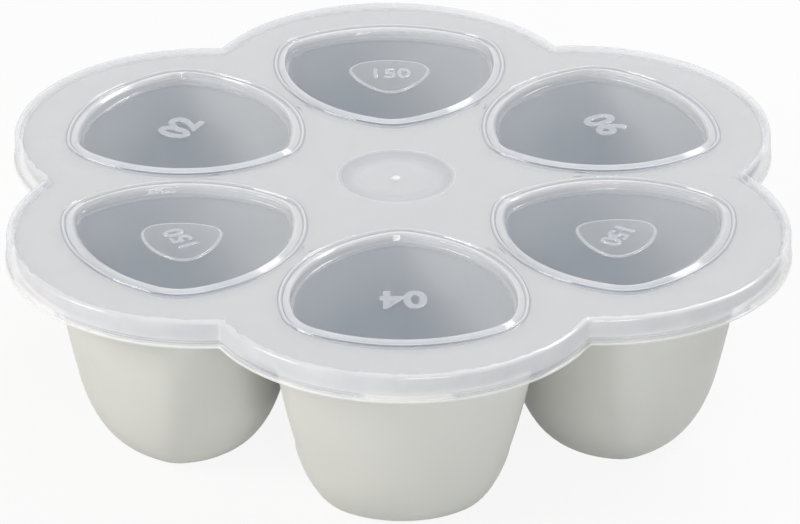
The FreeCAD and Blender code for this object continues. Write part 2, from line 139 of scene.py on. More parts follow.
class LidSizes(PropertyGroup):
    """Sizes of the frosted lid"""
    plate_top: length("Plate Top", "Height of the lid's flat top", 0.0660)
    plate_bottom: length("Plate Underside", "Height of the plate's underside", 0.0645)
    skirt_bottom: length("Skirt Bottom", "Height of the skirt's lower edge", 0.0576)
    skirt_wall: length("Skirt Wall", "Thickness of the skirt", 0.0014)
    edge_round: length("Edge Rounding", "Radius of the plate's outer edge", 0.0011)
    lip_height: length("Lip Height", "Height of the lip at the skirt's lower edge", 0.0008)
    lip_proud: length("Lip Width", "How far the lip stands out from the skirt", 0.00045)
    clear_band: length("Clear Band", "Height of the clearer band above the lip", 0.0015)
    lug_width: length("Lug Width", "Width of a lug inside the skirt", 0.0270)
    lug_height: length("Lug Height", "Height of a lug", 0.0013)
    lug_proud: length("Lug Depth", "How far a lug stands in from the skirt", 0.0007)
    bead_proud: length("Bead Reach", "How far the bead stands outside the ring's outline", 0.0014)
    bead_width: length("Bead Width", "Width of the bead round a window", 0.0013)
    bead_height: length("Bead Height", "Height of the bead above the plate", 0.0004)
    groove_depth: length("Groove Depth", "Depth of the grooves on both sides of the bead", 0.0002)
    groove_width: length("Groove Width", "Width of the grooves on both sides of the bead", 0.0003)
    ridge_height: length("Ridge Height", "Height of the ridge round the recess", 0.0005)
    ridge_width: length("Ridge Width", "Width of the ridge's outer slope", 0.0014)
    crest_width: length("Crest Width", "Width of the ridge's flat crest", 0.0004)
    shoulder_drop: length("Shoulder Drop", "Depth of the ridge's inner slope", 0.0005)
    window_inset: length("Window Inset", "How far inside the ring the slope starts", 0.0031)
    window_depth: length("Window Depth", "Depth of a window's floor below the plate", 0.0020)
    window_slope: length("Window Slope", "Width of the slope down to the floor", 0.0007)
    badge_height: length("Badge Height", "Height of a badge above its window's floor", 0.0004)
    plug_bottom: length("Plug Bottom", "Height of a window's underside", 0.0627)
    plug_clearance: length("Plug Clearance", "Gap between a window's plug and the mouth", 0.0006)
    dish_radius: length("Dish Radius", "Radius of the dish in the middle", 0.0176)
    dish_floor_radius: length("Dish Floor Radius", "Radius of the dish's flat floor", 0.0108)
    dish_depth: length("Dish Depth", "Depth of the dish", 0.0009)
    nib_radius: length("Nib Radius", "Radius of the moulding nib", 0.0013)
    nib_height: length("Nib Height", "Height of the moulding nib", 0.0006)


class TraySizes(PropertyGroup):
    """Sizes of the silicone tray"""
    top: length("Top", "Height of the flange's top", 0.0642)
    flange_bottom: length("Flange Underside", "Height of the flange's underside", 0.0617)
    rim_bottom: length("Rim Bottom", "Height of the rim's lower edge", 0.0592)
    rim_inset: length("Rim Inset", "How far the rim lies inside the lid's outline", 0.0024)
    rim_width: length("Rim Width", "Width of the thicker rim", 0.0035)
    rim_round: length("Rim Rounding", "Radius of the rim's edges", 0.0010)
    wall: length("Cup Wall", "Thickness of a cup's wall", 0.0022)
    floor: length("Cup Floor", "Thickness of a cup's floor", 0.0024)
    waist_height: length("Waist Height", "Height where a cup's foot starts to round in", 0.0184)
    mouth_inset: length("Mouth Inset", "How far a mouth lies inside its window's outline", 0.0010)
    mouth_round: length("Mouth Rounding", "Radius of a cup's mouth", 0.0012)
    waist_turn: FloatProperty(
        name="Waist Turn", default=0.5236, min=0.0, max=1.5, subtype="ANGLE",
        description="Angle at which the rounding of a cup's foot starts")
    fullness: FloatProperty(
        name="Cup Fullness", default=1.52, min=1.0, max=4.0,
        description="How long a cup keeps its mouth's outline on the way down")


class MarkSizes(PropertyGroup):
    """Sizes of the raised marks on the windows"""
    badge_number_height: length("Badge Number Height", "Height of a badge's figures", 0.0062)
    cup_number_height: length("Cup Number Height", "Height of a cup's figures", 0.0095)
    number_rise: length("Number Rise", "How far the figures stand up", 0.0004)
    number_root: length("Number Root", "How far the figures reach into the plastic", 0.0002)
    number_round: length("Number Rounding", "Radius of the figures' edges", 0.00028)
    badge_number_boldness: length("Badge Number Boldness", "Added round a badge's strokes", 0.00025)
    cup_number_boldness: length("Cup Number Boldness", "Added round a cup number's strokes", 0.0005)
    badge_reach: length("Badge Reach", "Distance from the axis to a badge's number", 0.0735)
    number_reach: length("Cup Number Reach", "Distance from the axis to a cup's number", 0.0745)
    capacity: IntProperty(name="Capacity", default=150, min=1,
                          description="What a cup holds, in millilitres, on the badges")


class Finishes(PropertyGroup):
    """Colours and surfaces of the two materials"""
    thin_haze: share("Thin Haze", "How much of a thin face is haze", 0.106)
    thick_haze: share("Thick Haze", "How much of a face is haze along the edges", 0.62)
    thin_colour: colour("Thin Haze Colour", "Colour of the haze where the plastic is thin",
                        (0.52, 0.68, 0.95))
    thick_colour: colour("Thick Haze Colour", "Colour of the haze where the plastic is thick",
                         (0.77, 0.81, 0.89))
    dense_colour: colour("Dense Haze Colour", "Colour of the haze along the plastic's edges",
                         (0.93, 0.94, 0.93))
    # The crease haze share and crease colour are painted shade: a dark diffuse colour mixed into
    # the creases and the dish's slope.
    crease_haze: share("Crease Haze", "How much of a face is dark in a crease", 0.5)
    crease_colour: colour("Crease Colour", "Colour of the plastic in a crease", (0.30, 0.34, 0.40))
    lid_tint: colour("Lid Tint", "What is left of the light that passes one face",
                     (1.0, 0.985, 0.977))
    lid_roughness: share("Lid Roughness", "Roughness of the lid's gloss", 0.1)
    lid_gloss: share("Lid Gloss", "Share of the light that a face mirrors head-on", 0.04)
    silicone_colour: colour("Silicone Colour", "Body colour of the silicone", (0.66, 0.67, 0.635))
    silicone_roughness: share("Silicone Roughness", "Roughness of the silicone", 0.52)


class StageSizes(PropertyGroup):
    """Camera, floor and lights"""
    azimuth: FloatProperty(name="Azimuth", default=0.03088, subtype="ANGLE",
                           description="How far the tray is turned under the camera")
    elevation: FloatProperty(name="Elevation", default=0.48379, subtype="ANGLE",
                             description="Height of the camera as an angle")
    roll: FloatProperty(name="Roll", default=0.00586, subtype="ANGLE",
                        description="Tilt of the camera round its own axis")
    distance: length("Distance", "Distance from the camera to the point it looks at", 1.4769)
    aim_side: length("Aim Side", "Where the camera looks, sideways", -0.00127)
    aim_forward: length("Aim Forward", "Where the camera looks, from front to back", 0.05539)
    lens: FloatProperty(name="Focal Length", default=229.77, subtype="DISTANCE_CAMERA",
                        description="Focal length on a sensor 36 mm wide")
    floor_size: length("Floor Size", "Side of the floor", 8.0)
    floor_gap: length("Floor Gap", "How far the floor lies below the tray's feet", 0.0002)
    floor_colour: colour("Floor Colour", "Colour of the floor", (0.7, 0.7, 0.7))


class FreezerTraySettings(PropertyGroup):
    """Everything that the panel's operators read"""
    shoulder: PointerProperty(type=ShoulderOutline)
    ring: PointerProperty(type=RingOutline)
    pit: PointerProperty(type=PitOutline)
    waist: PointerProperty(type=WaistOutline)
    foot: PointerProperty(type=FootOutline)
    badge: PointerProperty(type=BadgeOutline)
    lid: PointerProperty(type=LidSizes)
    tray: PointerProperty(type=TraySizes)
    marks: PointerProperty(type=MarkSizes)
    finishes: PointerProperty(type=Finishes)
    stage: PointerProperty(type=StageSizes)
    lobe_reach: length("Lobe Reach", "Distance from the axis to a lobe's centre", 0.0656)
    lobe_radius: length("Lobe Radius", "Radius of a lobe's edge", 0.0583)
    notch_radius: length("Notch Radius", "Radius of the notch between two lobes", 0.0015)


# ---- Outlines -------------------------------------------------------------------------------


def outline_of(group):
    """A rounded triangle's seven lengths, as arrays that can hold one value for each level."""
    return {key: np.array([getattr(group, key)]) for key in OUTLINE_WORDS}


def grown(outline, amount):
    """The same outline moved outwards: the arcs' centres stay and their radii grow."""
    return {key: value + amount if key.endswith("radius") else value + 0 * amount
            for key, value in outline.items()}


def between(first, second, part):
    """An outline part of the way from one to another, for each level's share."""
    return {key: first[key] + (second[key] - first[key]) * part for key in first}


def mirrored_loop(half):
    """Close a right half, from bottom to top, with its mirror image, from top to bottom."""
    left = half[..., -2:0:-1, :] * np.array([-1.0, 1.0])
    return np.concatenate([half, left], axis=-2)


def arc(centre_x, centre_y, radius, first, last, steps, inside_out=False):
    """Points and normals of an arc, without its last point: centre + radius (cos a, sin a)."""
    angle = first[:, None] + (last - first)[:, None] * np.linspace(0, 1, steps, endpoint=False)
    normal = np.stack([np.cos(angle), np.sin(angle)], axis=-1)
    centre = np.stack([centre_x, centre_y], axis=-1)[:, None, :]
    return centre + radius[:, None, None] * normal, -normal if inside_out else normal


def rounded_triangle(outline):
    """Points and outward normals of a closed outline of six arcs, for each level.

    The tip's, corner's and outer arcs have their centres at (0, tip reach), (corner side,
    corner reach) and (0, c). The flank's arc holds the tip's and the corner's circles from
    inside, so its centre lies at flank radius - tip radius from one centre and at flank radius
    - corner radius from the other. Two arcs meet on the line through their centres.
    """
    tip, tip_radius, reach, side, corner_radius, flank_radius, outer_radius = (
        outline[key] for key in OUTLINE_WORDS)
    span = np.hypot(side, reach - tip)
    from_tip, from_corner = flank_radius - tip_radius, flank_radius - corner_radius
    along = (from_tip ** 2 - from_corner ** 2 + span ** 2) / (2 * span)
    across = np.sqrt(from_tip ** 2 - along ** 2)
    flank_x = (side * along - (reach - tip) * across) / span
    flank_y = tip + ((reach - tip) * along + side * across) / span
    outer_y = reach - np.sqrt((outer_radius - corner_radius) ** 2 - side ** 2)
    middle = np.zeros_like(tip)
    turns = (middle - math.pi / 2,
             np.arctan2(tip - flank_y, -flank_x),
             np.arctan2(reach - flank_y, side - flank_x),
             np.arctan2(reach - outer_y, side),
             middle + math.pi / 2)
    circles = ((middle, tip, tip_radius), (flank_x, flank_y, flank_radius),
               (side, reach, corner_radius), (middle, outer_y, outer_radius))
    arcs = [arc(*circle, first, last, steps)
            for circle, first, last, steps in zip(circles, turns, turns[1:], TRIANGLE_STEPS)]
    top = np.stack([middle, outer_y + outer_radius], axis=-1)[:, None, :]
    upwards = np.stack([middle, middle + 1], axis=-1)[:, None, :]
    points = np.concatenate([points for points, _ in arcs] + [top], axis=1)
    normals = np.concatenate([normals for _, normals in arcs] + [upwards], axis=1)
    return mirrored_loop(points), mirrored_loop(normals)


def level_outline(group):
    """The plan points and the outward normals of one rounded triangle."""
    points, normals = rounded_triangle(outline_of(group))
    return points[0], normals[0]


def lobe_edge(settings):
    """The right half of a lobe's edge, from the notch to the lobe's top, with its normals.

    The notch's arc has its centre outside the outline, on the line between two lobes, at the
    sum of both radii from the lobe's centre.
    """
    reach, radius, notch = settings.lobe_reach, settings.lobe_radius, settings.notch_radius
    half_turn = LOBE_TURN / 2
    notch_reach = reach * math.cos(half_turn) + math.sqrt(
        (radius + notch) ** 2 - (reach * math.sin(half_turn)) ** 2)
    notch_x, notch_y = notch_reach * math.sin(half_turn), notch_reach * math.cos(half_turn)
    touch = math.atan2(notch_y - reach, notch_x)
    one = np.ones(1)
    _, _, notch_steps, lobe_steps = SECTOR_STEPS
    towards_axis = 1.5 * math.pi - half_turn
    points, normals = zip(
        arc(one * notch_x, one * notch_y, one * notch, one * towards_axis,
            one * (touch + math.pi), notch_steps, inside_out=True),
        arc(one * 0, one * reach, one * radius, one * touch, one * math.pi / 2, lobe_steps))
    top = np.array([[0.0, reach + radius]])
    points = np.concatenate([points[0][0], points[1][0], top])
    normals = np.concatenate([normals[0][0], normals[1][0], np.array([[0.0, 1.0]])])
    return points, normals


def sector_loop(settings, inset, middle_radius):
    """The closed outline of one lobe's share of the tray, step for step beside a triangle's.

    It runs along a circle round the axis, out along the line between two lobes, round the
    notch and along the lobe's edge, moved inwards by the inset.
    """
    points, normals = lobe_edge(settings)
    edge = points - inset * normals
    middle_steps, line_steps, _, _ = SECTOR_STEPS
    angle = np.linspace(0, LOBE_TURN / 2, middle_steps + 1)
    middle = middle_radius * np.stack([np.sin(angle), np.cos(angle)], axis=-1)
    line = middle[-1] + (edge[0] - middle[-1]) * np.linspace(0, 1, line_steps + 1)[1:-1, None]
    return mirrored_loop(np.concatenate([middle, line, edge]))


def whole_edge(settings):
    """The lid's whole lobed outline with its outward normals: one lobe turned six times."""
    return tuple(round_the_axis(mirrored_edge(half)).reshape(-1, 2)
                 for half in lobe_edge(settings))


def mirrored_edge(half):
    """A lobe's run from its right notch over its top up to, but without, its left notch."""
    return np.concatenate([half, half[-2:0:-1] * np.array([-1.0, 1.0])])


def round_the_axis(points):
    """Turn a lobe's points, flat or with heights, round the axis: one set for each lobe.

    A turn by an angle a takes (x, y) to (x cos a - y sin a, x sin a + y cos a).
    """
    turns = (np.arange(LOBES) * LOBE_TURN).reshape((-1,) + (1,) * (points.ndim - 1))
    x, y, heights = points[..., 0], points[..., 1], points[..., 2:]
    plan = np.stack([x * np.cos(turns) - y * np.sin(turns),
                     x * np.sin(turns) + y * np.cos(turns)], axis=-1)
    heights = np.broadcast_to(heights, plan.shape[:1] + heights.shape)
    return np.concatenate([plan, heights], axis=-1)


def rounded_profile(corners, steps=6):
    """A profile through corners (offset, height, radius), each rounded by its radius.

    A corner's arc starts at radius / tan(half the angle between its two sides) from the corner
    and turns evenly to the same distance on the other side.
    """
    places = np.array([corner[:2] for corner in corners])
    pieces = [places[:1]]
    for before, here, after, (_, _, radius) in zip(
            places, places[1:], places[2:], corners[1:-1]):
        if radius == 0:
            pieces.append(here[None])
            continue
        back, ahead = before - here, after - here
        back, ahead = back / np.linalg.norm(back), ahead / np.linalg.norm(ahead)
        half = math.acos(float(np.clip(back @ ahead, -1, 1))) / 2
        centre = here + (back + ahead) / np.linalg.norm(back + ahead) * radius / math.sin(half)
        first = here + back * radius / math.tan(half) - centre
        last = here + ahead * radius / math.tan(half) - centre
        bend = np.linspace(0, 1, steps + 1)[:, None]
        opening = math.pi - 2 * half
        pieces.append(centre + (np.sin((1 - bend) * opening) * first
                                + np.sin(bend * opening) * last) / math.sin(opening))
    pieces.append(places[-1:])
    return np.concatenate(pieces)


# ---- Skins ----------------------------------------------------------------------------------


# Points of neighbouring grids within this distance become one.
WELD_DISTANCE = 2e-6


def lifted(plan, heights):
    """Give plan points, one row for each level, their heights."""
    plan = np.asarray(plan)
    heights = np.broadcast_to(np.asarray(heights)[:, None], plan.shape[:2])
    return np.concatenate([plan, heights[..., None]], axis=-1)


def carried(path, normals, profile):
    """Carry a profile (offset, height) along a path: point + offset * normal, at the height."""
    plan = path[None] + profile[:, 0, None, None] * normals[None]
    return lifted(plan, profile[:, 1])


def stretched(inner, outer, height, shares=SHEET_SHARES):
    """A flat sheet between two outlines: inner + share * (outer - inner)."""
    plan = inner[None] + shares[:, None, None] * (outer - inner)[None]
    return lifted(plan, np.full(len(shares), height))


def closed_over(outline, centre, height, shares=FLOOR_SHARES):
    """A flat floor from an outline in to one point."""
    return stretched(outline, np.broadcast_to(np.asarray(centre), outline.shape), height, shares)


def turned_profile(profile):
    """Turn a profile (radius, height) round the axis, in step with the lobes' sheets."""
    columns = 2 * LOBES * SECTOR_STEPS[0]
    angle = np.arange(columns) * 2 * math.pi / columns
    circle = np.stack([np.sin(angle), np.cos(angle)], axis=-1)
    return lifted(profile[:, 0, None, None] * circle[None], profile[:, 1])


def flat_disc(radius, height):
    """The profile of a flat disc round the axis, from its edge in to its middle."""
    return np.stack([radius * (1 - FLOOR_SHARES), np.full(len(FLOOR_SHARES), height)], axis=-1)


class Skin:
    """Grids of points that join into one closed surface."""

    def __init__(self):
        self.points = []
        self.quads = []
        self.cloudiness = []
        self.count = 0

    def add(self, grid, cloudiness=0.0):
        """Add a grid whose columns close on themselves, or one such grid for each lobe."""
        for rows in (grid if grid.ndim == 4 else grid[None]):
            index = self.count + np.arange(rows.shape[0] * rows.shape[1]).reshape(rows.shape[:2])
            index = np.concatenate([index, index[:, :1]], axis=1)
            self.quads.append(np.stack([index[:-1, :-1], index[:-1, 1:], index[1:, 1:],
                                        index[1:, :-1]], axis=-1).reshape(-1, 4))
            self.points.append(rows.reshape(-1, 3))
            self.cloudiness.append(np.broadcast_to(cloudiness, rows.shape[:2]).ravel())
            self.count += rows.shape[0] * rows.shape[1]

    def mesh(self, name):
        """Join the grids where they meet, and turn the faces outwards."""
        mesh = bpy.data.meshes.new(name)
        mesh.from_pydata(np.concatenate(self.points), [], np.concatenate(self.quads))
        set_cloudiness(mesh, np.concatenate(self.cloudiness))
        shell = bmesh.new()
        shell.from_mesh(mesh)
        bmesh.ops.remove_doubles(shell, verts=shell.verts, dist=WELD_DISTANCE)
        bmesh.ops.recalc_face_normals(shell, faces=shell.faces)
        shell.to_mesh(mesh)
        shell.free()
        mesh.shade_smooth()
        return mesh


def set_cloudiness(mesh, values):
    """Store how cloudy the plastic looks at each point."""
    layer = mesh.attributes.new("cloudiness", "FLOAT", "POINT")
    layer.data.foreach_set("value", np.asarray(values, dtype=np.float32))


def require_closed(mesh):
    """Stop with an error where a surface that must be closed has an open or shared edge."""
    shell = bmesh.new()
    shell.from_mesh(mesh)
    loose = sum(1 for edge in shell.edges if len(edge.link_faces) != 2)
    volume = shell.calc_volume(signed=True)
    shell.free()
    if loose or volume <= 0:
        raise RuntimeError(f"{mesh.name} has {loose} open edges and a volume of {volume:.9f}")


def add_piece(name, mesh, material, body, slot, *nodes):
    """Put a mesh into the scene as a piece that rides on a body."""
    mesh.materials.clear()
    mesh.materials.append(material)
    piece = bpy.data.objects.new(name, mesh)
    bpy.context.scene.collection.objects.link(piece)
    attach(piece, body)
    if nodes:
        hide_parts(*nodes)


# ---- Materials ------------------------------------------------------------------------------


# Sizes of the noise in the plastic: clouds in the haze, grain and waves on the surface. Then
# the heights of the bumps, and how strongly they show.
CLOUD_SIZE, GRAIN_SIZE, WAVE_SIZE = 0.012, 0.0008, 0.018
GRAIN_HEIGHT, GRAIN_STRENGTH, WAVE_HEIGHT, WAVE_STRENGTH = 0.000002, 0.2, 0.0001, 0.25
# How much the cloudiness and the roughness vary with the clouds.
CLOUDINESS_SPREAD, ROUGHNESS_SPREAD = 0.08, 0.03
# The same for the silicone, and how much darker it gets in its darkest clouds.
SOFT_CLOUD_SIZE, SOFT_GRAIN_SIZE, SOFT_GRAIN_HEIGHT, SOFT_GRAIN_STRENGTH = (
    0.02, 0.0006, 0.00003, 0.4)
SOFT_ROUGHNESS_SPREAD, SOFT_DARKENING = 0.04, 0.96


class FinishNodes:
    """The nodes of a finish or of the world, which are added one after the other."""

    def __init__(self, owner):
        owner.use_nodes = True
        self.tree = owner.node_tree

    def named(self, name):
        """A node that is there from the start."""
        return self.tree.nodes[name]

    def fill(self, node, inputs):
        """Give a node's inputs plain values or links."""
        for key, value in inputs.items():
            if isinstance(value, bpy.types.NodeSocket):
                self.tree.links.new(value, node.inputs[key])
            else:
                node.inputs[key].default_value = value

    def add(self, kind, inputs=None, output=0, **choices):
        """Add a node with its choices and inputs, and return one of its outputs."""
        node = self.tree.nodes.new("ShaderNode" + kind)
        for key, value in choices.items():
            setattr(node, key, value)
        self.fill(node, inputs or {})
        return node.outputs[output]

    def noise(self, place, size, detail=3.0):
        """Noise in the piece's own coordinates, whose features are about the given size."""
        return self.add("TexNoise", {"Vector": place, "Scale": 1 / size, "Detail": detail}, "Fac")

    def spread(self, value, low, high, first=0.3, last=0.7):
        """Spread the values between the first and the last over a range."""
        return self.add("MapRange", {"Value": value, "From Min": first, "From Max": last,
                                     "To Min": low, "To Max": high}, "Result")

    def blend(self, factor, first, second):
        """Mix two colours by a factor."""
        return self.add("Mix", {"Factor": factor, "A": first, "B": second}, "Result",
                        data_type="RGBA")

    def math(self, operation, first, second):
        """Work out a number from two others."""
        return self.add("Math", {0: first, 1: second}, operation=operation)

    def mix(self, factor, first, second):
        """Mix two shaders by a factor."""
        return self.add("MixShader", {0: factor, 1: first, 2: second})

    def bump(self, height, distance, strength, **base):
        """A bump of the given height in metres, on top of another one."""
        return self.add("Bump", {"Height": height, "Distance": distance, "Strength": strength,
                                 **base}, "Normal")

    def show(self, shader):
        """Make a shader the material's surface."""
        self.fill(self.named("Material Output"), {"Surface": shader})


def opaque(tint):
    """A colour with full alpha, as the nodes take it."""
    return (*tint, 1.0)


def cloudy_plastic(finishes):
    """Frosted plastic: a clear body with a haze in it and a soft gloss on it.

    The haze is bluish and thin in the windows, and whiter and denser with the cloudiness. It is
    dark in the creases. The gloss's share is f + (1 - f)(1 - cos a)^5, on the side that faces
    out of the plastic.
    """
    material = bpy.data.materials.new("cloudy_plastic")
    nodes = FinishNodes(material)
    nodes.tree.nodes.remove(nodes.named("Principled BSDF"))
    place = nodes.add("TexCoord", output="Object")
    cloud = nodes.noise(place, CLOUD_SIZE)
    fine = nodes.bump(nodes.noise(place, GRAIN_SIZE, detail=2.0), GRAIN_HEIGHT, GRAIN_STRENGTH)
    surface = nodes.bump(nodes.noise(place, WAVE_SIZE, detail=1.0), WAVE_HEIGHT, WAVE_STRENGTH,
                         Normal=fine)

    layer = nodes.add("Attribute", output="Fac", attribute_name="cloudiness")
    uneven = nodes.math("MULTIPLY", layer,
                        nodes.spread(cloud, 1 - CLOUDINESS_SPREAD, 1 + CLOUDINESS_SPREAD))
    whiteness = nodes.spread(uneven, 0.0, 1.0, 0.0, WHITE_FROM)
    density = nodes.spread(uneven, 0.0, 1.0, DENSE_FROM, LIP)
    milky = nodes.blend(whiteness, opaque(finishes.thin_colour), opaque(finishes.thick_colour))
    haze = nodes.add("BsdfDiffuse", {
        "Color": nodes.blend(density, milky, opaque(finishes.dense_colour)), "Normal": surface})
    clear = nodes.add("BsdfTransparent", {"Color": opaque(finishes.lid_tint)})
    haze_share = nodes.spread(uneven, finishes.thin_haze, finishes.thick_haze, 0.0, 1.0)
    # Painted shade: a dark diffuse colour mixed in where the cloudiness is below 0, in the creases
    # and on the dish's slope.
    dark = nodes.add("BsdfDiffuse", {"Color": opaque(finishes.crease_colour)})
    painted_shade_share = nodes.spread(uneven, finishes.crease_haze, 0.0, CREASE_SHADE, 0.0)
    body = nodes.mix(painted_shade_share, nodes.mix(haze_share, clear, haze), dark)

    rough = finishes.lid_roughness
    gloss = nodes.add("BsdfGlossy", {"Normal": surface, "Roughness": nodes.spread(
        cloud, rough - ROUGHNESS_SPREAD, rough + ROUGHNESS_SPREAD)})
    slant = nodes.add("LayerWeight", {"Blend": 0.5, "Normal": surface}, "Facing")
    mirrored = nodes.spread(nodes.math("POWER", slant, 5.0), finishes.lid_gloss, 1.0, 0.0, 1.0)
    inner_side = nodes.add("NewGeometry", output="Backfacing")
    outer_side = nodes.spread(inner_side, 1.0, 0.0, 0.0, 1.0)
    nodes.show(nodes.mix(nodes.math("MULTIPLY", mirrored, outer_side), body, gloss))
    return material


def soft_silicone(finishes):
    """Soft silicone: matt with a faint sheen, and light scatters in it."""
    material = bpy.data.materials.new("soft_silicone")
    nodes = FinishNodes(material)
    place = nodes.add("TexCoord", output="Object")
    cloud = nodes.noise(place, SOFT_CLOUD_SIZE)
    body, rough = Vector(finishes.silicone_colour), finishes.silicone_roughness
    nodes.fill(nodes.named("Principled BSDF"), {
        "Base Color": nodes.blend(cloud, opaque(body), opaque(body * SOFT_DARKENING)),
        "Roughness": nodes.spread(cloud, rough - SOFT_ROUGHNESS_SPREAD,
                                  rough + SOFT_ROUGHNESS_SPREAD),
        "Normal": nodes.bump(nodes.noise(place, SOFT_GRAIN_SIZE, detail=2.0), SOFT_GRAIN_HEIGHT,
                             SOFT_GRAIN_STRENGTH),
        "Subsurface Weight": 0.2,
        "Subsurface Radius": (1.0, 0.9, 0.8),
        "Subsurface Scale": 0.005,
        "IOR": 1.41,
    })
    return material


def shared_material(name, make, finishes):
    """The material of that name, made once."""
    return bpy.data.materials.get(name) or make(finishes)


# ---- Silicone tray --------------------------------------------------------------------------


# Levels down a mouth's rounding, a cup's wall and its foot.
MOUTH_LEVELS, WALL_LEVELS, FOOT_LEVELS = 8, 18, 14
# How far a mouth's rounding runs on over the flange, and the rounding of the rim's inner
# corners, as shares of the mouth's and the rim's own rounding.
MOUTH_MARGIN, INNER_ROUND = 0.4, 0.6


def cup_wall(settings, side, heights):
    """The outline of a cup's outside or inside at each height between its mouth and its waist.

    The outline goes from the mouth's to the waist's by the share of the way down, raised to
    the power of the fullness.
    """
    tray = settings.tray
    if side == "outside":
        mouth, waist = grown(outline_of(settings.shoulder), tray.wall), outline_of(settings.waist)
    else:
        mouth = grown(outline_of(settings.ring), -tray.mouth_inset)
        waist = grown(outline_of(settings.waist), -tray.wall)
    down = (tray.top - heights) / (tray.top - tray.waist_height)
    return between(mouth, waist, down ** tray.fullness)


def cup_skin(settings, side, start_height, start):
    """Rings of a cup's outside or inside from its start down to its bottom, on one lobe.

    Below the waist the outline goes to the foot's by cos a / cos s, at a height of waist height
    - (waist height - bottom) (sin a - sin s) / (1 - sin s), for angles a from s to a quarter
    turn. The angle s makes the foot start as steep as the wall ends.
    """
    tray = settings.tray
    inset, floor = (0.0, 0.0) if side == "outside" else (tray.wall, tray.floor)
    down = np.linspace(0, 1, WALL_LEVELS + 1)[1:]
    heights = start_height - (start_height - tray.waist_height) * down
    wall, _ = rounded_triangle(cup_wall(settings, side, heights))
    turn = np.linspace(tray.waist_turn, math.pi / 2, FOOT_LEVELS + 1)[1:]
    foot = between(grown(outline_of(settings.foot), -inset),
                   grown(outline_of(settings.waist), -inset),
                   np.cos(turn) / math.cos(tray.waist_turn))
    foot_plan, _ = rounded_triangle(foot)
    fall = (np.sin(turn) - math.sin(tray.waist_turn)) / (1 - math.sin(tray.waist_turn))
    foot_heights = tray.waist_height - (tray.waist_height - floor) * fall
    centre = (0.0, (settings.foot.tip_reach + settings.foot.corner_reach) / 2)
    last = closed_over(foot_plan[-1], centre, floor)
    return np.concatenate([start, lifted(wall, heights), lifted(foot_plan, foot_heights),
                           last[1:]])


def tray_skin(settings):
    """The tray's whole surface: flange, rim, mouths, the cups' insides and their outsides."""
    tray, middle_radius = settings.tray, settings.lid.dish_radius
    skin = Skin()
    margin = MOUTH_MARGIN * tray.mouth_round

    # Mouths: a quarter circle from flat on the flange to upright at the wall.
    turn = np.linspace(0, math.pi / 2, MOUTH_LEVELS + 1)
    mouth_height = tray.top - tray.mouth_round
    mouth = cup_wall(settings, "inside", np.array([mouth_height]))
    flare = np.concatenate([[tray.mouth_round + margin], tray.mouth_round * (1 - np.sin(turn))])
    flare_heights = tray.top - tray.mouth_round * (1 - np.cos(turn))
    flare_plan, _ = rounded_triangle(grown(mouth, flare))
    start = lifted(flare_plan, np.concatenate([[tray.top], flare_heights]))
    skin.add(round_the_axis(cup_skin(settings, "inside", mouth_height, start)))

    # Roots: the cups' outsides run into the flange's underside in a quarter circle.
    root_height = tray.flange_bottom - tray.mouth_round
    root = cup_wall(settings, "outside", np.array([root_height]))
    root_plan, _ = rounded_triangle(grown(root, flare))
    root_heights = np.concatenate([[tray.flange_bottom],
                                   tray.flange_bottom - tray.mouth_round * (1 - np.cos(turn))])
    start = lifted(root_plan, root_heights)
    skin.add(round_the_axis(cup_skin(settings, "outside", root_height, start)))

    # Rim, and the flange's two faces.
    outside, inside = -tray.rim_inset, -tray.rim_inset - tray.rim_width
    edge_margin = EDGE_MARGIN * tray.rim_round
    profile = rounded_profile([
        (outside - edge_margin, tray.top, 0),
        (outside, tray.top, tray.rim_round),
        (outside, tray.rim_bottom, tray.rim_round),
        (inside, tray.rim_bottom, INNER_ROUND * tray.rim_round),
        (inside, tray.flange_bottom, INNER_ROUND * tray.rim_round),
        (inside - tray.rim_round, tray.flange_bottom, 0),
    ])
    skin.add(carried(*whole_edge(settings), profile))
    top_outline = sector_loop(settings, edge_margin - outside, middle_radius)
    skin.add(round_the_axis(stretched(flare_plan[0], top_outline, tray.top)))
    under_outline = sector_loop(settings, tray.rim_round - inside, middle_radius)
    skin.add(round_the_axis(stretched(root_plan[0], under_outline, tray.flange_bottom)))
    for height in (tray.top, tray.flange_bottom):
        skin.add(turned_profile(flat_disc(middle_radius, height)))
    return skin


# ---- Lid ------------------------------------------------------------------------------------


# Radii of the roundings along the lid's profiles, from the tightest to the softest.
GROOVE_ROUND, LIP_ROUND, BEAD_ROUND, CREST_ROUND = 0.0002, 0.00025, 0.0003, 0.0004
ROOT_ROUND, FLOOR_ROUND, DISH_SHOULDER_ROUND, DISH_FLOOR_ROUND = 0.0005, 0.0006, 0.001, 0.006
# Widths over which a lug rises from the skirt, at its top and at its two ends.
LUG_TOP_FADE, LUG_END_FADE = 0.0004, 0.0012
# Widths over which the cloudiness changes above the lip, at the clear band's top, beside a
# groove, where it turns to painted crease shade, and on the inner side of a crest.
LIP_FADE, BAND_FADE, CREASE_FADE, CREST_FADE = 0.0002, 0.0004, 0.0001, 0.0003
# The width of each of a bead's two slopes, as a share of the bead's.
BEAD_SLANT = 0.3
# Two steps in from the edge of a window's floor and of its underside, before the flat sheet.
# The floor's haze ends at its first step, and the underside's fades from the first to the
# second.
FLOOR_STEPS, PLUG_STEPS = (0.0006, 0.0022), (0.0010, 0.0020)
# A badge's foot and the start of its slope outside its outline, and its top's edge inside it.
# Then the ends of its white edge, outside and inside.
BADGE_FOOT, BADGE_SLOPE, BADGE_TOP_EDGE = 0.0006, 0.0001, 0.0008
BADGE_EDGE_START, BADGE_EDGE_END = 0.0002, 0.0003
# The plug's root, as a distance outside its side.
PLUG_ROOT = 0.0005
# The dish: its edge's width, its shoulder's width and share of the depth, how far its nib's
# foot spreads, and the share of the nib's radius that its top keeps.
DISH_EDGE, DISH_SHOULDER, DISH_SHOULDER_DEPTH = 0.0006, 0.0012, 0.2
NIB_FOOT, NIB_TOP = 0.0003, 0.8
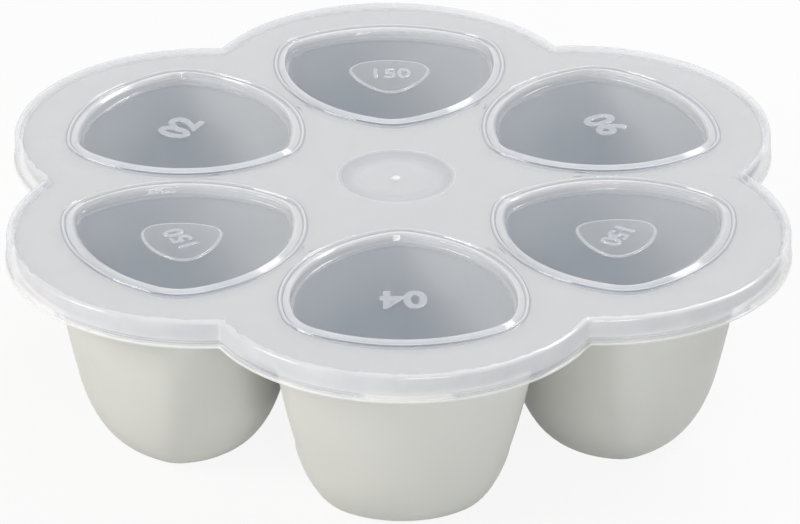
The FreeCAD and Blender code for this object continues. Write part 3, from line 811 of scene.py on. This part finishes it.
# Where the dish's cloudiness changes, as distances from the nib, the floor and the rim, and
# how much painted shade its slope gets at its foot and at its top.
NIB_FADE, DISH_FLOOR_FADES, DISH_RIM_FADE = 0.0004, (0.001, 0.002), 0.0008
SLOPE_FOOT_SHADE, SLOPE_TOP_SHADE = 0.15 * CREASE_SHADE, 0.3 * CREASE_SHADE


def soft_step(distance, width):
    """0 before a place and 1 behind it, by t^2 (3 - 2 t) over the width in between."""
    part = np.clip(distance / width + 0.5, 0, 1)
    return part * part * (3 - 2 * part)


def lug_along(settings, path):
    """1 at the points of the edge that have a lug behind them, and 0 at the others."""
    angle = np.arctan2(path[:, 0], path[:, 1])
    from_middle = np.abs((angle + LOBE_TURN / 2) % LOBE_TURN - LOBE_TURN / 2)
    side = np.hypot(path[:, 0], path[:, 1]) * np.sin(from_middle)
    return soft_step(settings.lid.lug_width / 2 - side, LUG_END_FADE)


def add_edge(skin, settings):
    """Add the plate's rounded edge, the skirt, its lip and the lugs inside it.

    A lug stands in from the skirt by its depth times one soft step along the height and one
    along the edge. It shows through the clearer band in front of it.
    """
    lid = settings.lid
    path, normals = whole_edge(settings)
    top, inside, bottom = lid.plate_top, -lid.skirt_wall, lid.skirt_bottom
    lip_top, lug_top = bottom + lid.lip_height, bottom + lid.lug_height
    band_top = lip_top + lid.clear_band
    profile = rounded_profile([
        (-EDGE_MARGIN * lid.edge_round, top, 0),
        (0, top, lid.edge_round),
        (0, band_top + BAND_FADE, 0),
        (0, band_top - BAND_FADE, 0),
        (0, lip_top, BEAD_ROUND),
        (lid.lip_proud, lip_top, GROOVE_ROUND),
        (lid.lip_proud, bottom, LIP_ROUND),
        (inside, bottom, BEAD_ROUND),
        (inside, lug_top - LUG_TOP_FADE / 2, 0),
        (inside, lug_top, 0),
        (inside, lug_top + LUG_TOP_FADE / 2, 0),
        (inside, lid.plate_bottom, ROOT_ROUND),
        (inside - SHEET_MARGIN, lid.plate_bottom, 0),
    ])
    offset, height = profile[:, 0, None], profile[:, 1, None]
    along = lug_along(settings, path)[None]
    push = lid.lug_proud * soft_step(lug_top - height, LUG_TOP_FADE) * (offset <= inside) * along
    edge = carried(path, normals, profile)
    edge[..., :2] -= push[..., None] * normals[None]
    cloudiness = np.interp(
        height, [bottom, lip_top, lip_top + LIP_FADE, band_top - BAND_FADE, band_top + BAND_FADE],
        [LIP, LIP, BAND, BAND, SKIRT])
    skin.add(edge, cloudiness + (LIP - cloudiness) * (height < band_top) * along)


def window_profile(lid):
    """A window's section from the plate in to its floor, with the cloudiness along it.

    From outside in: a groove, the bead, a groove, the ridge with its crest, its inner
    shoulder, and the slope down to the floor.
    """
    top, floor = lid.plate_top, lid.plate_top - lid.window_depth
    groove, bead_top = top - lid.groove_depth, top + lid.bead_height
    ridge = top + lid.ridge_height
    bead_out, bead_in = lid.bead_proud, lid.bead_proud - lid.bead_width
    slant = BEAD_SLANT * lid.bead_width
    ridge_out = bead_in - lid.groove_width
    crest_out = ridge_out - lid.ridge_width
    crest_in = crest_out - lid.crest_width
    slope_start, slope_end = -lid.window_inset, -lid.window_inset - lid.window_slope
    profile = rounded_profile([
        (bead_out + lid.groove_width + SHEET_MARGIN, top, 0),
        (bead_out + lid.groove_width, top, GROOVE_ROUND),
        (bead_out, groove, GROOVE_ROUND),
        (bead_out - slant, bead_top, BEAD_ROUND),
        (bead_in + slant, bead_top, BEAD_ROUND),
        (bead_in, groove, GROOVE_ROUND),
        (ridge_out, groove, GROOVE_ROUND),
        (crest_out, ridge, CREST_ROUND),
        (crest_in, ridge, CREST_ROUND),
        (slope_start, ridge - lid.shoulder_drop, CREST_ROUND),
        (slope_end, floor, FLOOR_ROUND),
        (slope_end - FLOOR_STEPS[0], floor, 0),
        (slope_end - FLOOR_STEPS[1], floor, 0),
    ])
    # The grooves on both sides of the bead take the crease value: a line of painted shade.
    places, values = zip(
        (slope_end - FLOOR_STEPS[0], WINDOW), (slope_end, BADGE), (slope_start, PLATE),
        (crest_in - CREST_FADE, LEDGE), (crest_in, RIDGE), (ridge_out, BEAD),
        (bead_in - CREASE_FADE, CREASE_SHADE), (bead_in + slant, BEAD), (bead_out - slant, BEAD),
        (bead_out + CREASE_FADE, CREASE_SHADE), (profile[1, 0], PLATE))
    sunk = np.interp(profile[:, 0], [slope_end, crest_in], [1, 0])
    return profile, np.interp(profile[:, 0], places, values)[:, None], sunk


def add_windows(skin, settings, centre):
    """Add the windows' rings, slopes and floors, and a badge on every second floor.

    The rings follow one outline and the floors another one. The slope goes over from the first
    to the second in even steps from the crest. The windows' outermost outline comes back.
    """
    lid = settings.lid
    ring, normals = level_outline(settings.ring)
    pit, _ = level_outline(settings.pit)
    profile, cloudiness, sunk = window_profile(lid)
    slope_end = -lid.window_inset - lid.window_slope
    rows = carried(ring, normals, profile)
    rows[..., :2] += sunk[:, None, None] * (pit - ring - slope_end * normals)
    skin.add(round_the_axis(rows), cloudiness)
    floor_outline, floor = rows[-1, :, :2], profile[-1, 1]
    skin.add(round_the_axis(closed_over(floor_outline, centre, floor))[1::2])

    badge_outline, badge_normals = level_outline(settings.badge)
    badge = rounded_profile([
        (BADGE_FOOT, floor, 0),
        (BADGE_SLOPE, floor, GROOVE_ROUND),
        (0.0, floor + lid.badge_height, LIP_ROUND),
        (-BADGE_TOP_EDGE, floor + lid.badge_height, 0),
    ])
    edge = np.interp(badge[:, 0],
                     [-BADGE_TOP_EDGE, -BADGE_EDGE_END, BADGE_EDGE_START, BADGE_FOOT],
                     [BADGE, BEAD, BEAD, WINDOW])[:, None]
    foot = badge_outline + BADGE_FOOT * badge_normals
    top = badge_outline - BADGE_TOP_EDGE * badge_normals
    for grid, cloudiness in (
            (stretched(foot, floor_outline, floor), WINDOW),
            (carried(badge_outline, badge_normals, badge), edge),
            (closed_over(top, centre, badge[-1, 1]), BADGE)):
        skin.add(round_the_axis(grid)[::2], cloudiness)
    return rows[0, :, :2]


def add_plugs(skin, settings, centre):
    """Add the windows' undersides, which plug the mouths; their root's outline comes back."""
    lid = settings.lid
    ring, normals = level_outline(settings.ring)
    side = -settings.tray.mouth_inset - lid.plug_clearance
    fade_start, fade_end = (side - step for step in PLUG_STEPS)
    profile = rounded_profile([
        (side + PLUG_ROOT, lid.plate_bottom, 0),
        (side, lid.plate_bottom, BEAD_ROUND),
        (side - lid.window_slope / 2, lid.plug_bottom, ROOT_ROUND),
        (fade_start, lid.plug_bottom, 0),
        (fade_end, lid.plug_bottom, 0),
    ])
    rows = carried(ring, normals, profile)
    cloudiness = np.interp(profile[:, 0], [fade_end, fade_start], [WINDOW, LEDGE])[:, None]
    skin.add(round_the_axis(rows), cloudiness)
    skin.add(round_the_axis(closed_over(rows[-1, :, :2], centre, lid.plug_bottom)))
    return rows[0, :, :2]


def add_dish(skin, lid, dish_edge):
    """Add the dish in the middle of the plate with its nib, and the flat underneath it."""
    top, floor = lid.plate_top, lid.plate_top - lid.dish_depth
    radius, floor_radius, nib = lid.dish_radius, lid.dish_floor_radius, lid.nib_radius
    profile = rounded_profile([
        (dish_edge, top, 0),
        (radius, top, FLOOR_ROUND),
        (radius - DISH_SHOULDER, top - DISH_SHOULDER_DEPTH * lid.dish_depth, DISH_SHOULDER_ROUND),
        (floor_radius, floor, DISH_FLOOR_ROUND),
        (nib + NIB_FOOT, floor, GROOVE_ROUND),
        (nib * NIB_TOP, floor + lid.nib_height, CREST_ROUND),
        (0.0, floor + lid.nib_height, 0),
    ])
    places, values = zip(
        # The nib's edge takes the densest white haze as a painted highlight.
        (nib, LIP), (nib + NIB_FADE, PLATE), (floor_radius - DISH_FLOOR_FADES[0], PLATE),
        # The slope between the floor and the rim gets painted shade from the crease value.
        (floor_radius + DISH_FLOOR_FADES[1], SLOPE_FOOT_SHADE), (radius - DISH_RIM_FADE, SLOPE_TOP_SHADE),
        (radius, LEDGE), (dish_edge, PLATE))
    skin.add(turned_profile(profile), np.interp(profile[:, 0], places, values)[:, None])
    skin.add(turned_profile(flat_disc(dish_edge, lid.plate_bottom)), PLATE)


def lid_skin(settings):
    """The lid's whole surface: plate, edge, skirt, lip, lugs, windows, dish and underside."""
    lid, badge = settings.lid, settings.badge
    skin = Skin()
    centre = (0.0, (badge.tip_reach + badge.corner_reach) / 2)
    dish_edge = lid.dish_radius + DISH_EDGE
    add_edge(skin, settings)
    window_outline = add_windows(skin, settings, centre)
    plug_outline = add_plugs(skin, settings, centre)
    for outline, inset, height in (
            (window_outline, EDGE_MARGIN * lid.edge_round, lid.plate_top),
            (plug_outline, lid.skirt_wall + SHEET_MARGIN, lid.plate_bottom)):
        edge = sector_loop(settings, inset, dish_edge)
        skin.add(round_the_axis(stretched(outline, edge, height)), PLATE)
    add_dish(skin, lid, dish_edge)
    return skin


# ---- Marks on the windows -------------------------------------------------------------------


# A figure's height as a share of the font's size, and the distance within which two points of
# a figure are joined. Points further than the second distance below the top are its edges.
FIGURE_HEIGHT, JOIN_DISTANCE, TOP_DISTANCE = 0.7, 1e-6, 0.00001


def number_mesh(text, height, boldness, marks, reach, turn, floor):
    """A raised number, flat on a window's floor, upright when seen from outside the tray."""
    curve = bpy.data.curves.new("number", "FONT")
    curve.body = text
    curve.align_x, curve.align_y = "CENTER", "CENTER"
    curve.size = height / FIGURE_HEIGHT
    curve.extrude = (marks.number_rise + marks.number_root) / 2 - marks.number_round
    curve.bevel_depth = marks.number_round
    curve.bevel_resolution = 2
    curve.resolution_u = 8
    curve.offset = boldness - marks.number_round
    carrier = bpy.data.objects.new("number", curve)
    mesh = bpy.data.meshes.new_from_object(carrier)
    bpy.data.objects.remove(carrier)
    bpy.data.curves.remove(curve)
    raised = Matrix.Translation((0, reach, floor + (marks.number_rise - marks.number_root) / 2))
    mesh.transform(Matrix.Rotation(turn, 4, "Z") @ raised)
    return mesh


def joined(meshes, name, marks):
    """Several meshes of numbers as one, cloudy along their edges and clearer on top."""
    whole = bmesh.new()
    for mesh in meshes:
        whole.from_mesh(mesh)
        bpy.data.meshes.remove(mesh)
    bmesh.ops.remove_doubles(whole, verts=whole.verts, dist=JOIN_DISTANCE)
    mesh = bpy.data.meshes.new(name)
    whole.to_mesh(mesh)
    whole.free()
    heights = np.empty(3 * len(mesh.vertices), dtype=np.float32)
    mesh.vertices.foreach_get("co", heights)
    heights = heights[2::3] - heights.max() + marks.number_rise
    above = np.where(heights < marks.number_rise - TOP_DISTANCE, LIP, LEDGE)
    set_cloudiness(mesh, np.where(heights > 0, above, PLATE))
    return mesh


# ---- Stage ----------------------------------------------------------------------------------


# The lamps: name, place, width and height, power in watts, and tint. They all look at one
# point inside the tray.
LAMPS = (
    ("top_light", (0.1, 0.1, 1.4), (1.3, 1.3), 4.7, (1.0, 1.0, 1.0)),
    ("back_light", (0.75, 0.75, 1.2), (1.5, 0.3), 17.0, (1.0, 1.0, 1.0)),
    ("left_light", (-1.2, -0.35, 0.75), (0.6, 0.6), 13.5, (1.0, 0.97, 0.93)),
    ("front_light", (0.3, -1.4, 0.35), (0.6, 0.4), 7.9, (1.0, 1.0, 1.0)),
)
LAMP_TARGET = (0, 0, 0.05)
# How brightly the world lights the tray, and how much of the floor's look is its own white.
WORLD_LIGHT, FLOOR_WHITE = 0.13, 0.9


def camera_matrix(stage, height):
    """The camera's place and turn, from its angles round the middle of the lid's top.

    In the camera's own frame the tray is turned by the azimuth and moved by the aim. The camera
    stands at the distance, (0, -cos e, sin e), looks along (0, cos e, -sin e), and is rolled.
    """
    elevation, roll = stage.elevation, stage.roll
    back = Vector((0, -math.cos(elevation), math.sin(elevation)))
    right = Vector((1, 0, 0))
    up = Vector((0, math.sin(elevation), math.cos(elevation)))
    rolled_right = right * math.cos(roll) + up * math.sin(roll)
    rolled_up = up * math.cos(roll) - right * math.sin(roll)
    own = Matrix((rolled_right, rolled_up, back)).transposed().to_4x4()
    own.translation = back * stage.distance - Vector((stage.aim_side, stage.aim_forward, 0))
    return Matrix.Translation((0, 0, height)) @ Matrix.Rotation(-stage.azimuth, 4, "Z") @ own


def add_area_light(name, place, size, power, tint):
    """A rectangular soft light that looks at the tray."""
    light = bpy.data.lights.new(name, "AREA")
    light.shape = "RECTANGLE"
    light.size, light.size_y = size
    light.energy = power
    light.color = tint
    lamp = bpy.data.objects.new(name, light)
    away = Vector(place) - Vector(LAMP_TARGET)
    turned = away.to_track_quat("Z", "Y").to_matrix().to_4x4()
    lamp.matrix_world = Matrix.Translation(place) @ turned
    bpy.context.scene.collection.objects.link(lamp)


def seen_directly(nodes):
    """1 for what the camera sees directly, in a reflection or through a clear piece."""
    camera, glossy, through = (nodes.add("LightPath", output=f"Is {kind} Ray")
                               for kind in ("Camera", "Glossy", "Transmission"))
    return nodes.math("MAXIMUM", nodes.math("MAXIMUM", camera, glossy), through)


def floor_material(stage):
    """A pale floor that shows as white, keeps a soft shadow and is clear from below."""
    material = bpy.data.materials.new("floor")
    nodes = FinishNodes(material)
    shader = nodes.named("Principled BSDF")
    nodes.fill(shader, {"Base Color": opaque(stage.floor_colour), "Roughness": 0.9,
                        "Specular IOR Level": 0.1})
    glow_share = nodes.math("MULTIPLY", seen_directly(nodes), FLOOR_WHITE)
    top_side = nodes.mix(glow_share, shader.outputs[0], nodes.add("Emission", {"Strength": 1.0}))
    from_below = nodes.add("NewGeometry", output="Backfacing")
    nodes.show(nodes.mix(from_below, top_side, nodes.add("BsdfTransparent")))
    return material


def pale_world():
    """An even pale world: white to look at, and softer as a light."""
    world = bpy.data.worlds.new("pale_world")
    nodes = FinishNodes(world)
    nodes.fill(nodes.named("Background"), {
        "Color": (1.0, 1.0, 1.0, 1.0),
        "Strength": nodes.spread(seen_directly(nodes), WORLD_LIGHT, 1.0, 0.0, 1.0)})
    return world


# ---- Operators ------------------------------------------------------------------------------


class BuildSiliconeTray(Operator):
    """Build the silicone tray with its flange, rim and six cups"""
    bl_idname = "freezer_tray.silicone_tray"
    bl_label = "Silicone Tray"

    def execute(self, context):
        settings = context.scene.freezer_tray
        mesh = tray_skin(settings).mesh("tray_cups")
        require_closed(mesh)
        material = shared_material("soft_silicone", soft_silicone, settings.finishes)
        add_piece("tray_cups", mesh, material, "tray", "silicone", "silicone_tray")
        return {"FINISHED"}


class BuildLid(Operator):
    """Build the frosted lid with its windows, skirt, lip, lugs and dish"""
    bl_idname = "freezer_tray.lid"
    bl_label = "Lid"

    def execute(self, context):
        settings = context.scene.freezer_tray
        mesh = lid_skin(settings).mesh("lid_shell")
        require_closed(mesh)
        material = shared_material("cloudy_plastic", cloudy_plastic, settings.finishes)
        add_piece("lid_shell", mesh, material, "lid", "frosted_plastic", "lid")
        return {"FINISHED"}


class BuildMarks(Operator):
    """Build the raised numbers on the badges and on the other windows"""
    bl_idname = "freezer_tray.marks"
    bl_label = "Numbers"

    def execute(self, context):
        settings = context.scene.freezer_tray
        marks = settings.marks
        material = shared_material("cloudy_plastic", cloudy_plastic, settings.finishes)
        floor = settings.lid.plate_top - settings.lid.window_depth
        badge_top = floor + settings.lid.badge_height
        capacity = [number_mesh(str(marks.capacity), marks.badge_number_height,
                                marks.badge_number_boldness, marks, marks.badge_reach,
                                lobe * LOBE_TURN, badge_top)
                    for lobe in range(0, LOBES, 2)]
        add_piece("badge_numbers", joined(capacity, "badge_numbers", marks), material, "lid",
                  "frosted_plastic")
        numbers = [number_mesh(f"{lobe + 1:02d}", marks.cup_number_height,
                               marks.cup_number_boldness, marks, marks.number_reach,
                               lobe * LOBE_TURN, floor)
                   for lobe in range(1, LOBES, 2)]
        add_piece("cup_numbers", joined(numbers, "cup_numbers", marks), material, "lid",
                  "frosted_plastic")
        return {"FINISHED"}


class BuildStage(Operator):
    """Set up the floor, the world, the soft lights and the camera"""
    bl_idname = "freezer_tray.stage"
    bl_label = "Stage"

    def execute(self, context):
        scene, stage = context.scene, context.scene.freezer_tray.stage
        half, height = stage.floor_size / 2, -stage.floor_gap
        mesh = bpy.data.meshes.new("floor")
        mesh.from_pydata([(-half, -half, height), (half, -half, height), (half, half, height),
                          (-half, half, height)], [], [(0, 1, 2, 3)])
        mesh.materials.append(floor_material(stage))
        floor = bpy.data.objects.new("floor", mesh)
        scene.collection.objects.link(floor)
        scene.world = pale_world()
        for lamp in LAMPS:
            add_area_light(*lamp)
        lens = bpy.data.cameras.new("camera")
        lens.sensor_width = 36.0
        lens.lens = stage.lens
        lens.clip_end = 20.0
        camera = bpy.data.objects.new("camera", lens)
        camera.matrix_world = camera_matrix(stage, scene.freezer_tray.lid.plate_top)
        scene.collection.objects.link(camera)
        scene.camera = camera
        scene.view_settings.view_transform = "Standard"
        return {"FINISHED"}


# ---- Panel and registration -----------------------------------------------------------------


OPERATORS = (BuildSiliconeTray, BuildLid, BuildMarks, BuildStage)


class FreezerTrayPanel(Panel):
    """Buttons that build the tray, its lid and the stage"""
    bl_idname = "VIEW3D_PT_freezer_tray"
    bl_label = "Freezer Tray"
    bl_space_type = "VIEW_3D"
    bl_region_type = "UI"
    bl_category = "Freezer Tray"

    def draw(self, context):
        for operator in OPERATORS:
            self.layout.operator(operator.bl_idname)


CLASSES = (ShoulderOutline, RingOutline, PitOutline, WaistOutline, FootOutline, BadgeOutline,
           LidSizes, TraySizes, MarkSizes, Finishes, StageSizes, FreezerTraySettings, *OPERATORS,
           FreezerTrayPanel)


def register():
    for each in CLASSES:
        bpy.utils.register_class(each)
    bpy.types.Scene.freezer_tray = PointerProperty(type=FreezerTraySettings)


def unregister():
    del bpy.types.Scene.freezer_tray
    for each in reversed(CLASSES):
        bpy.utils.unregister_class(each)


def main():
    """Build every piece and the stage, and write the two boxes that the size rule compares."""
    register()
    bpy.ops.freezer_tray.silicone_tray()
    bpy.ops.freezer_tray.lid()
    bpy.ops.freezer_tray.marks()
    bpy.ops.freezer_tray.stage()


if __name__ == "__main__":
    main()
